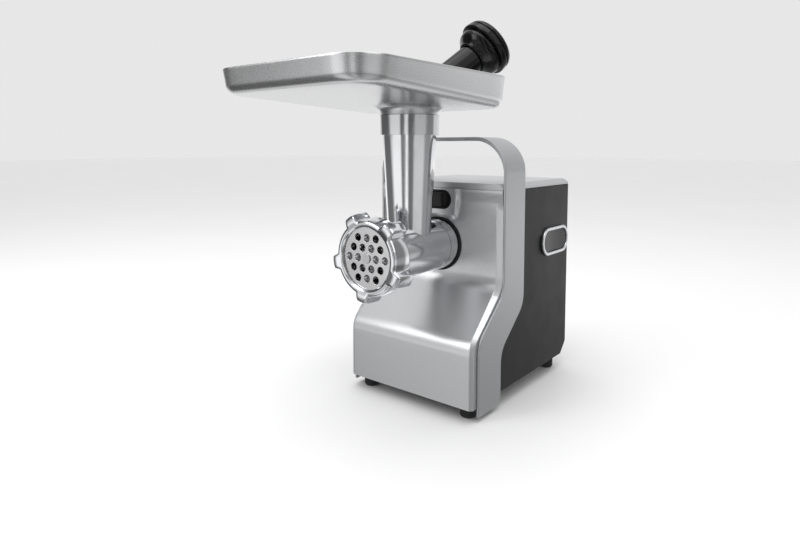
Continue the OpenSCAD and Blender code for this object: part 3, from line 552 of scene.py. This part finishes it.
def ring_nut():
    """The lobed nut: its outline is swept from the front face to the back round a stepped bore."""
    low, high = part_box("ring_nut")
    plate_low, plate_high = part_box("perforated_plate")
    axis_z = (plate_low.z + plate_high.z) / 2
    plate_r = (plate_high.x - plate_low.x) / 2
    lip_r = plate_r - 3 * MM
    bore_r = plate_r + 2.4 * MM
    body_r = bore_r + 1.6 * MM
    tip_r = (high.z - low.z) / 2 + 1.2 * MM
    depth = high.y - low.y
    steps = 360
    # (distance from the front face, inset from the outline, or a plain radius)
    sections = [
        (0.0, 3.6 * MM, None), (0.2 * MM, 2.5 * MM, None), (0.9 * MM, 1.4 * MM, None),
        (2.0 * MM, 0.7 * MM, None), (3.6 * MM, 0.3 * MM, None), (depth * 0.5, -0.2 * MM, None),
        (depth - 2.0 * MM, -0.6 * MM, None), (depth - 1.0 * MM, -0.3 * MM, None),
        (depth - 0.8 * MM, 0.2 * MM, None), (depth - 0.2 * MM, 0.6 * MM, None), (depth, 1.2 * MM, None),
        (depth, None, bore_r + 0.4 * MM), (depth - 0.4 * MM, None, bore_r), (2.1 * MM, None, bore_r),
        (2.1 * MM, None, lip_r + 0.3 * MM), (1.8 * MM, None, lip_r), (1.2 * MM, None, lip_r),
        (0.35 * MM, None, lip_r + 1.0 * MM), (0.0, None, lip_r + 1.5 * MM),
    ]
    verts = []
    for y, inset, radius in sections:
        for i in range(steps):
            theta = 360 * i / steps
            r = radius
            if r is None:
                r = nut_outline(theta, body_r, tip_r) - inset
            a = math.radians(theta)
            verts.append(Vector((r * math.cos(a), low.y + y, axis_z + r * math.sin(a))))
    obj = mesh_object("ring_nut_finished", verts, ring_faces(len(sections), steps))
    shade(obj, 38)
    return finish_piece(obj, material_of("ring_nut"), "ring_nut")


# ---- Tray and pusher ----

TRAY_CORNER = 30 * MM
TRAY_SHEET = 1.6 * MM
FLOOR_DROP_FRONT = 19.5 * MM
FLOOR_DROP_REAR = 29 * MM
MOUTH_FROM_REAR = 50 * MM
FOLD_RISE = 8 * MM
FOLD_INSET = 10 * MM
CORNER_STEPS = 14
SIDE_STEPS = 12


def rim_outline(x_half, y_front, y_rear, corner):
    """Points round a rectangle with round corners, seen from above."""
    corners = [
        (x_half - corner, y_rear - corner, 0), (-x_half + corner, y_rear - corner, 90),
        (-x_half + corner, y_front + corner, 180), (x_half - corner, y_front + corner, 270),
    ]
    points = []
    for i, (cx, cy, start) in enumerate(corners):
        points += arc((cx, cy), corner, start, start + 90, CORNER_STEPS)
        nx, ny, nstart = corners[(i + 1) % 4]
        ax, ay = points[-1]
        bx, by = arc((nx, ny), corner, nstart, nstart, 1)[0]
        for k in range(1, SIDE_STEPS):
            t = k / SIDE_STEPS
            points.append((ax + (bx - ax) * t, ay + (by - ay) * t))
    return points


def tray():
    """The tray: a thin wall, a round fold, a floor that falls to the feed mouth, and the neck."""
    low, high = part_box("tray")
    collar_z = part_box("head_barrel")[1].z
    mouth_y = high.y - MOUTH_FROM_REAR
    neck_r = low_neck_radius()
    collar_r = neck_r + 2.45 * MM
    half = high.x
    t = TRAY_SHEET

    def floor_z(y):
        share = min(1, max(0, (y - low.y) / (high.y - low.y)))
        return high.z - FLOOR_DROP_FRONT - (FLOOR_DROP_REAR - FLOOR_DROP_FRONT) * share

    def wall_loop(inset, lift=None, z=None):
        points = rim_outline(half - inset, low.y + inset, high.y - inset, TRAY_CORNER - inset)
        return [(x, y, z if z is not None else floor_z(y) + lift) for x, y in points]

    def fold_loop(angle, skin):
        """Part of the fold between wall (0 degrees) and floor (90 degrees)."""
        a = math.radians(angle)
        inset = FOLD_INSET - (FOLD_INSET - 2 * MM) * math.cos(a) + skin * math.cos(a)
        return wall_loop(inset, lift=FOLD_RISE * (1 - math.sin(a)) + skin * math.sin(a))

    edge = wall_loop(FOLD_INSET, lift=0)

    def floor_loop(share, r, skin):
        """A loop of the floor, `share` of the way from the fold to the flare's edge."""
        out = []
        for x, y, _ in edge:
            a = math.atan2(y - mouth_y, x)
            px = x + (r * math.cos(a) - x) * share
            py = y + (mouth_y + r * math.sin(a) - y) * share
            out.append((px, py, floor_z(py) + skin))
        return out

    def flare_loop(r, rise, blend, skin=0.0):
        """A circle round the mouth, between the floor (blend 1) and a level ring (blend 0)."""
        out = []
        for x, y, _ in edge:
            a = math.atan2(y - mouth_y, x)
            px, py = r * math.cos(a), mouth_y + r * math.sin(a)
            level = collar_z + rise
            out.append((px, py, level + (floor_z(py) + skin - level) * blend))
        return out

    flare_edge = collar_r + 11 * MM
    flare = [(9.0, 7.6, 0.93), (7.0, 7.2, 0.8), (5.0, 6.6, 0.6), (3.2, 5.6, 0.38), (1.7, 4.2, 0.18),
             (0.7, 2.7, 0.05), (0.1, 1.2, 0.0), (-0.2, 0.3, 0.0)]
    throat = [(-1.6, 1.6, 0.0), (-1.3, 3.2, 0.06), (-0.5, 4.8, 0.2), (1.0, 6.4, 0.4), (2.9, 7.8, 0.62),
              (5.0, 8.6, 0.8), (7.4, 9.1, 0.93)]
    shares = [i / 8 for i in range(9)]
    angles = (0, 12, 24, 36, 48, 60, 72, 82)
    loops = [wall_loop(0.25 * MM, z=high.z - 0.15 * MM), wall_loop(0.0, z=high.z - 0.7 * MM)]
    loops += [wall_loop(0.35 * MM, z=high.z - 2.2 * MM)]
    loops += [fold_loop(a, 0.0) for a in angles]
    loops += [floor_loop(s, flare_edge, 0.0) for s in shares]
    loops += [flare_loop(collar_r + d * MM, h * MM, b) for d, h, b in flare]
    loops += [flare_loop(neck_r, -0.1 * MM, 0), flare_loop(neck_r, low.z - collar_z + 0.6 * MM, 0)]
    loops += [flare_loop(neck_r - 0.5 * MM, low.z - collar_z, 0)]
    loops += [flare_loop(neck_r - 1.9 * MM, low.z - collar_z + 0.3 * MM, 0)]
    loops += [flare_loop(neck_r - 1.9 * MM, 0.4 * MM, 0)]
    loops += [flare_loop(collar_r + d * MM, h * MM, b, t) for d, h, b in throat]
    loops += [floor_loop(s, flare_edge, t) for s in reversed(shares)]
    loops += [fold_loop(a, t) for a in reversed(angles)]
    loops += [wall_loop(t + 0.35 * MM, z=high.z - 2.2 * MM), wall_loop(t, z=high.z - 0.7 * MM)]
    loops += [wall_loop(t - 0.3 * MM, z=high.z - 0.12 * MM), wall_loop(t * 0.5, z=high.z)]
    verts = [Vector(p) for loop in loops for p in loop]
    obj = mesh_object("tray_finished", verts, ring_faces(len(loops), len(edge)))
    shade(obj, 50)
    return finish_piece(obj, material_of("tray"), "tray")


def low_neck_radius():
    """Outer radius of the tray's neck, from the lowest points of its CAD node."""
    low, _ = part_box("tray")
    xs = [v.co.x for v in frame["nodes"]["tray"].data.vertices if v.co.z < low.z + 1 * MM]
    return max(xs)


def axis_of(joint):
    """Direction of a joint, as a unit vector."""
    found = [j for j in frame["joints"] if j["name"] == joint][0]
    return Vector(found["axis"]).normalized()


def span_along(node, axis):
    """A node's point on its own axis, and its lowest and highest distance from there along it."""
    points = [v.co for v in frame["nodes"][node].data.vertices]
    centre = sum(points, Vector()) / len(points)
    distances = [(p - centre).dot(axis) for p in points]
    return centre, min(distances), max(distances)


def radius_about(node, centre, axis):
    """Largest distance of a node's points from an axis."""
    offsets = [v.co - centre for v in frame["nodes"][node].data.vertices]
    return max((o - axis * o.dot(axis)).length for o in offsets)


def pusher():
    """The pusher: a plain tube for a stem, and a hollow knob of stacked, softly rounded discs."""
    axis = axis_of("pusher_pull")
    centre, low, high = span_along("pusher_stem", axis)
    r = radius_about("pusher_stem", centre, axis)
    wall = 2.5 * MM
    nose = 2.4 * MM
    stem = [(0, low), (r - nose, low)] + arc((r - nose, low + nose), nose, -80, 0, 6)
    stem += [(r, high), (r - wall, high), (r - wall, low + wall), (0, low + wall)]
    piece = turned("pusher_stem_finished", stem, centre, axis)
    shade(piece, 40)
    finish_piece(piece, material_of("pusher_stem"), "pusher_stem")

    k_centre, z, top = span_along("pusher_knob", axis)
    base = centre + axis * (k_centre - centre).dot(axis)
    kr = radius_about("pusher_knob", base, axis)
    inside = [(0, z + 24 * MM), (r - 1 * MM, z + 24 * MM), (r - 1 * MM, z + 4 * MM)]

    def off(radius, points):
        """Points given in mm: outwards from the radius, and up from the knob's foot."""
        return [(radius + out * MM, z + up * MM) for out, up in points]

    profile = off(r, [(0.1, 4), (0.1, 0.5), (0.6, 0)])
    profile += arc((r + 1.7 * MM, z + 0.9 * MM), 0.9 * MM, -90, 0, 5)
    profile += off(r, [(2.9, 1.6), (4.1, 2.6), (5.4, 4)])
    profile += off(kr, [(-5.4, 5.8), (-4.3, 7.6), (-3.6, 9.4), (-3.2, 11.2), (-3.2, 12.6)])
    profile += off(kr, [(-3.7, 13.3), (-3.9, 14), (-3, 14.3)])
    profile += arc((kr - 1.3 * MM, z + 15.7 * MM), 1.3 * MM, -90, 0, 6)
    profile += arc((kr - 1.3 * MM, z + 19 * MM), 1.3 * MM, 0, 80, 6)
    profile += off(kr, [(-2.2, 20.5), (-2.2, 20.9)])
    profile += arc((kr - 1.8 * MM, z + 22.2 * MM), 1.2 * MM, -80, 10, 5)
    profile += off(kr, [(-0.9, 24), (-2, 25.8), (-4.2, 27)])
    profile += [(kr - 8 * MM, top - 0.5 * MM), (kr * 0.35, top), (0, top)]
    knob = turned("pusher_knob_finished", inside + profile, base, axis)
    shade(knob, 40)
    finish_piece(knob, material_of("pusher_knob"), "pusher_knob")


# ---- Rounded copies and carried-over nodes ----

ROUNDED = {
    "handle_band": 0.9, "side_panel_left": 1.4, "side_panel_right": 1.4, "top_cover": 1.6,
    "rear_cover": 0.8, "base_plate": 0.7, "feet": 0.9, "socket_seal": 0.5, "head_socket": 0.5,
    "button_bezel": 0.5, "release_button": 0.9, "switch_bezel": 0.9, "switch_rocker": 0.9,
    "cord_gland": 0.6, "head_barrel": 0.8, "perforated_plate": 0.35, "knife": 0.3,
    "cover_screws": 0.3, "foot_screws": 0.3, "nut_washer": 0.15, "auger_pin": 0.4,
}


def build_pieces():
    """Builds the shaped pieces, then the rounded copies, then paints the nodes that stay."""
    front_panel()
    ring_nut()
    tray()
    pusher()
    for node, width in ROUNDED.items():
        refined(node, material_of(node), width * MM)
    for node, obj in frame["nodes"].items():
        obj.data.materials.clear()
        obj.data.materials.append(material_of(node))


build_pieces()


# ---- Studio ----

CAMERA_TURN = 38.95
CAMERA_DROP = 4.43
CAMERA_DISTANCE = 0.560
CAMERA_AIM = Vector((-0.0007, -0.0321, 0.2081))
CAMERA_LENS = 26.78
CAMERA_SHIFT = -0.10


def make_camera():
    """The camera looks at the front right corner from a little above the tray's height."""
    data = bpy.data.cameras.new("camera")
    data.lens = CAMERA_LENS
    data.shift_y = CAMERA_SHIFT
    data.clip_start = 0.01
    camera = new_object("camera", data)
    turn, drop = math.radians(CAMERA_TURN), math.radians(CAMERA_DROP)
    back = Vector((math.sin(turn) * math.cos(drop), -math.cos(turn) * math.cos(drop), math.sin(drop)))
    camera.location = CAMERA_AIM + back * CAMERA_DISTANCE
    camera.rotation_euler = (-back).to_track_quat("-Z", "Y").to_euler()
    bpy.context.scene.camera = camera


def area_light(name, azimuth, elevation, distance, size, power, aim=(0, 0, 0.15)):
    """A square soft light round the object; azimuth 0 is in front, and 90 is on its right."""
    data = bpy.data.lights.new(name, "AREA")
    data.shape = "RECTANGLE"
    data.size, data.size_y = size
    data.energy = power
    light = new_object(name, data)
    a, e = math.radians(azimuth), math.radians(elevation)
    back = Vector((math.sin(a) * math.cos(e), -math.cos(a) * math.cos(e), math.sin(e)))
    light.location = Vector(aim) + back * distance
    light.rotation_euler = (-back).to_track_quat("-Z", "Y").to_euler()


# Brightness of the studio round the object: (degrees from +X towards +Y, brightness)
STUDIO_ROUND = [
    (-180, 0.15), (-142, 0.15), (-128, 0.95), (-92, 0.95), (-85, 0.20), (-74, 0.20), (-68, 1.0),
    (-61, 1.0), (-55, 0.16), (-40, 0.16), (-30, 0.60), (10, 0.60), (22, 0.28), (50, 0.32),
    (57, 0.90), (72, 0.90), (84, 1.0), (164, 1.0), (174, 0.15),
]


# Grey of the plain backdrop that the camera sees
BACKDROP = 0.80
FLOOR_HALF = 12.0

# How the studio's brightness changes with height: (the direction's Z, share of the brightness)
STUDIO_UPWARD = [
    (-1, 0.95), (-0.6, 0.9), (-0.46, 0.55), (-0.32, 0.5),
    (-0.23, 1.3), (-0.1, 1.3), (0.0, 0.85), (1, 0.85),
]


def fill_ramp(node, levels):
    """Puts grey levels into a colour ramp: (place from 0 to 1, brightness)."""
    stops = node.color_ramp.elements
    while len(stops) > 1:
        stops.remove(stops[0])
    for i, (place, value) in enumerate(levels):
        stop = stops[0] if i == 0 else stops.new(place)
        stop.position = place
        stop.color = (value, value, value, 1)


def make_world():
    """Soft bright and dark panels all round, under a bright ceiling, behind a plain backdrop."""
    world = bpy.data.worlds.new("studio")
    bpy.context.scene.world = world
    world.use_nodes = True
    tree = world.node_tree
    coords = tree.nodes.new("ShaderNodeTexCoord")
    split = tree.nodes.new("ShaderNodeSeparateXYZ")
    angle = tree.nodes.new("ShaderNodeMath")
    angle.operation = "ARCTAN2"
    share = tree.nodes.new("ShaderNodeMapRange")
    share.inputs["From Min"].default_value = -math.pi
    share.inputs["From Max"].default_value = math.pi
    around = tree.nodes.new("ShaderNodeValToRGB")
    fill_ramp(around, [((degrees + 180) / 360, value) for degrees, value in STUDIO_ROUND])
    height = tree.nodes.new("ShaderNodeMapRange")
    height.inputs["From Min"].default_value = 0.55
    height.inputs["From Max"].default_value = 0.85
    mix = tree.nodes.new("ShaderNodeMix")
    mix.data_type = "RGBA"
    mix.inputs[7].default_value = (1.15, 1.15, 1.15, 1)
    tree.links.new(coords.outputs["Generated"], split.inputs["Vector"])
    tree.links.new(split.outputs["Y"], angle.inputs[0])
    tree.links.new(split.outputs["X"], angle.inputs[1])
    tree.links.new(angle.outputs["Value"], share.inputs["Value"])
    tree.links.new(share.outputs["Result"], around.inputs["Fac"])
    tree.links.new(split.outputs["Z"], height.inputs["Value"])
    tree.links.new(height.outputs["Result"], mix.inputs["Factor"])
    below = tree.nodes.new("ShaderNodeMapRange")
    below.inputs["From Min"].default_value = -1
    below.inputs["From Max"].default_value = 1
    upward = tree.nodes.new("ShaderNodeValToRGB")
    fill_ramp(upward, [((z + 1) / 2, value) for z, value in STUDIO_UPWARD])
    dim = tree.nodes.new("ShaderNodeMix")
    dim.data_type = "RGBA"
    dim.blend_type = "MULTIPLY"
    dim.inputs["Factor"].default_value = 1.0
    tree.links.new(split.outputs["Z"], below.inputs["Value"])
    tree.links.new(around.outputs["Color"], dim.inputs[6])
    tree.links.new(below.outputs["Result"], upward.inputs["Fac"])
    tree.links.new(upward.outputs["Color"], dim.inputs[7])
    tree.links.new(dim.outputs[2], mix.inputs[6])
    rays = tree.nodes.new("ShaderNodeLightPath")
    seen = tree.nodes.new("ShaderNodeMix")
    seen.data_type = "RGBA"
    seen.inputs[7].default_value = (BACKDROP, BACKDROP, BACKDROP, 1)
    tree.links.new(rays.outputs["Is Camera Ray"], seen.inputs["Factor"])
    tree.links.new(mix.outputs[2], seen.inputs[6])
    tree.links.new(seen.outputs[2], tree.nodes["Background"].inputs["Color"])


def make_floor():
    """A wide pale floor at the height of the feet, left out of the metal's reflections."""
    h = FLOOR_HALF
    corners = [(-h, -h, 0), (h, -h, 0), (h, h, 0), (-h, h, 0)]
    floor = mesh_object("floor", corners, [(0, 1, 2, 3)])
    s = Surface("floor_paper", (0.9, 0.9, 0.9), 0.6)
    s.vary_color(s.noise(3), 0.01)
    floor.data.materials.append(s.material)
    floor.visible_glossy = False


make_camera()
make_world()
make_floor()
area_light("key", 80, 35, 1.3, (0.9, 0.9), 2)
area_light("tall", -30, 34, 1.3, (0.5, 0.9), 5)
area_light("top", 10, 80, 1.4, (1.3, 0.9), 8)
bpy.context.scene.view_settings.view_transform = "Standard"
